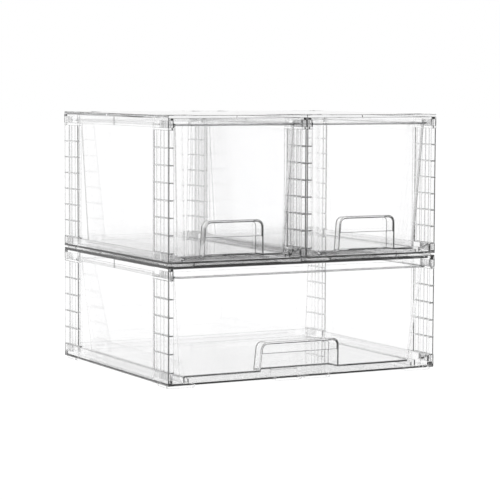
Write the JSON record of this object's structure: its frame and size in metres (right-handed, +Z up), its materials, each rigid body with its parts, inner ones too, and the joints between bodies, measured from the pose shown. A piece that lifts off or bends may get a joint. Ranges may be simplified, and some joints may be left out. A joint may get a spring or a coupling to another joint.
{
  "type": "shoe box",
  "caption": "Clear stacking shoe storage: half-width drawer boxes side by side on a full-width drawer box, with ribbed corner posts and tapered pull-out drawers.",
  "frame": {"origin": "middle of the stack's footprint, on the surface that its feet stand on", "axes": "+X to the stack's right seen from the front, +Y from the front to the back, +Z up; the drawers pull out along -Y"},
  "size_m": [0.4096, 0.34, 0.3535],
  "materials": {
    "clear_panel": "clear gloss",
    "clear_post": "clear gloss",
    "clear_sheet": "clear gloss sheet",
    "clear_drawer": "clear gloss"
  },
  "bodies": {
    "lower_frame": {"lower_base_panel": "clear_panel", "lower_top_panel": "clear_panel", "lower_front_left_post": "clear_post", "lower_front_right_post": "clear_post", "lower_rear_left_post": "clear_post", "lower_rear_right_post": "clear_post", "lower_left_side_sheet": "clear_sheet", "lower_right_side_sheet": "clear_sheet", "lower_back_sheet": "clear_sheet"},
    "lower_drawer": {"lower_drawer": "clear_drawer"},
    "upper_left_frame": {"upper_left_base_panel": "clear_panel", "upper_left_top_panel": "clear_panel", "upper_left_front_left_post": "clear_post", "upper_left_front_right_post": "clear_post", "upper_left_rear_left_post": "clear_post", "upper_left_rear_right_post": "clear_post", "upper_left_left_side_sheet": "clear_sheet", "upper_left_right_side_sheet": "clear_sheet", "upper_left_back_sheet": "clear_sheet"},
    "upper_left_drawer": {"upper_left_drawer": "clear_drawer"},
    "upper_right_frame": {"upper_right_base_panel": "clear_panel", "upper_right_top_panel": "clear_panel", "upper_right_front_left_post": "clear_post", "upper_right_front_right_post": "clear_post", "upper_right_rear_left_post": "clear_post", "upper_right_rear_right_post": "clear_post", "upper_right_left_side_sheet": "clear_sheet", "upper_right_right_side_sheet": "clear_sheet", "upper_right_back_sheet": "clear_sheet"},
    "upper_right_drawer": {"upper_right_drawer": "clear_drawer"}
  },
  "joints": [
    {"name": "lower_drawer_slide", "type": "slide", "parent": "lower_frame", "child": "lower_drawer", "axis": [0, -1, 0], "range_m": [0, 0.2387]},
    {"name": "upper_left_lift", "type": "slide", "parent": "lower_frame", "child": "upper_left_frame", "axis": [0, 0, 1], "range_m": [0, 0.03]},
    {"name": "upper_right_lift", "type": "slide", "parent": "lower_frame", "child": "upper_right_frame", "axis": [0, 0, 1], "range_m": [0, 0.03]},
    {"name": "upper_left_drawer_slide", "type": "slide", "parent": "upper_left_frame", "child": "upper_left_drawer", "axis": [0, -1, 0], "range_m": [0, 0.2387]},
    {"name": "upper_right_drawer_slide", "type": "slide", "parent": "upper_right_frame", "child": "upper_right_drawer", "axis": [0, -1, 0], "range_m": [0, 0.2387]}
  ]
}
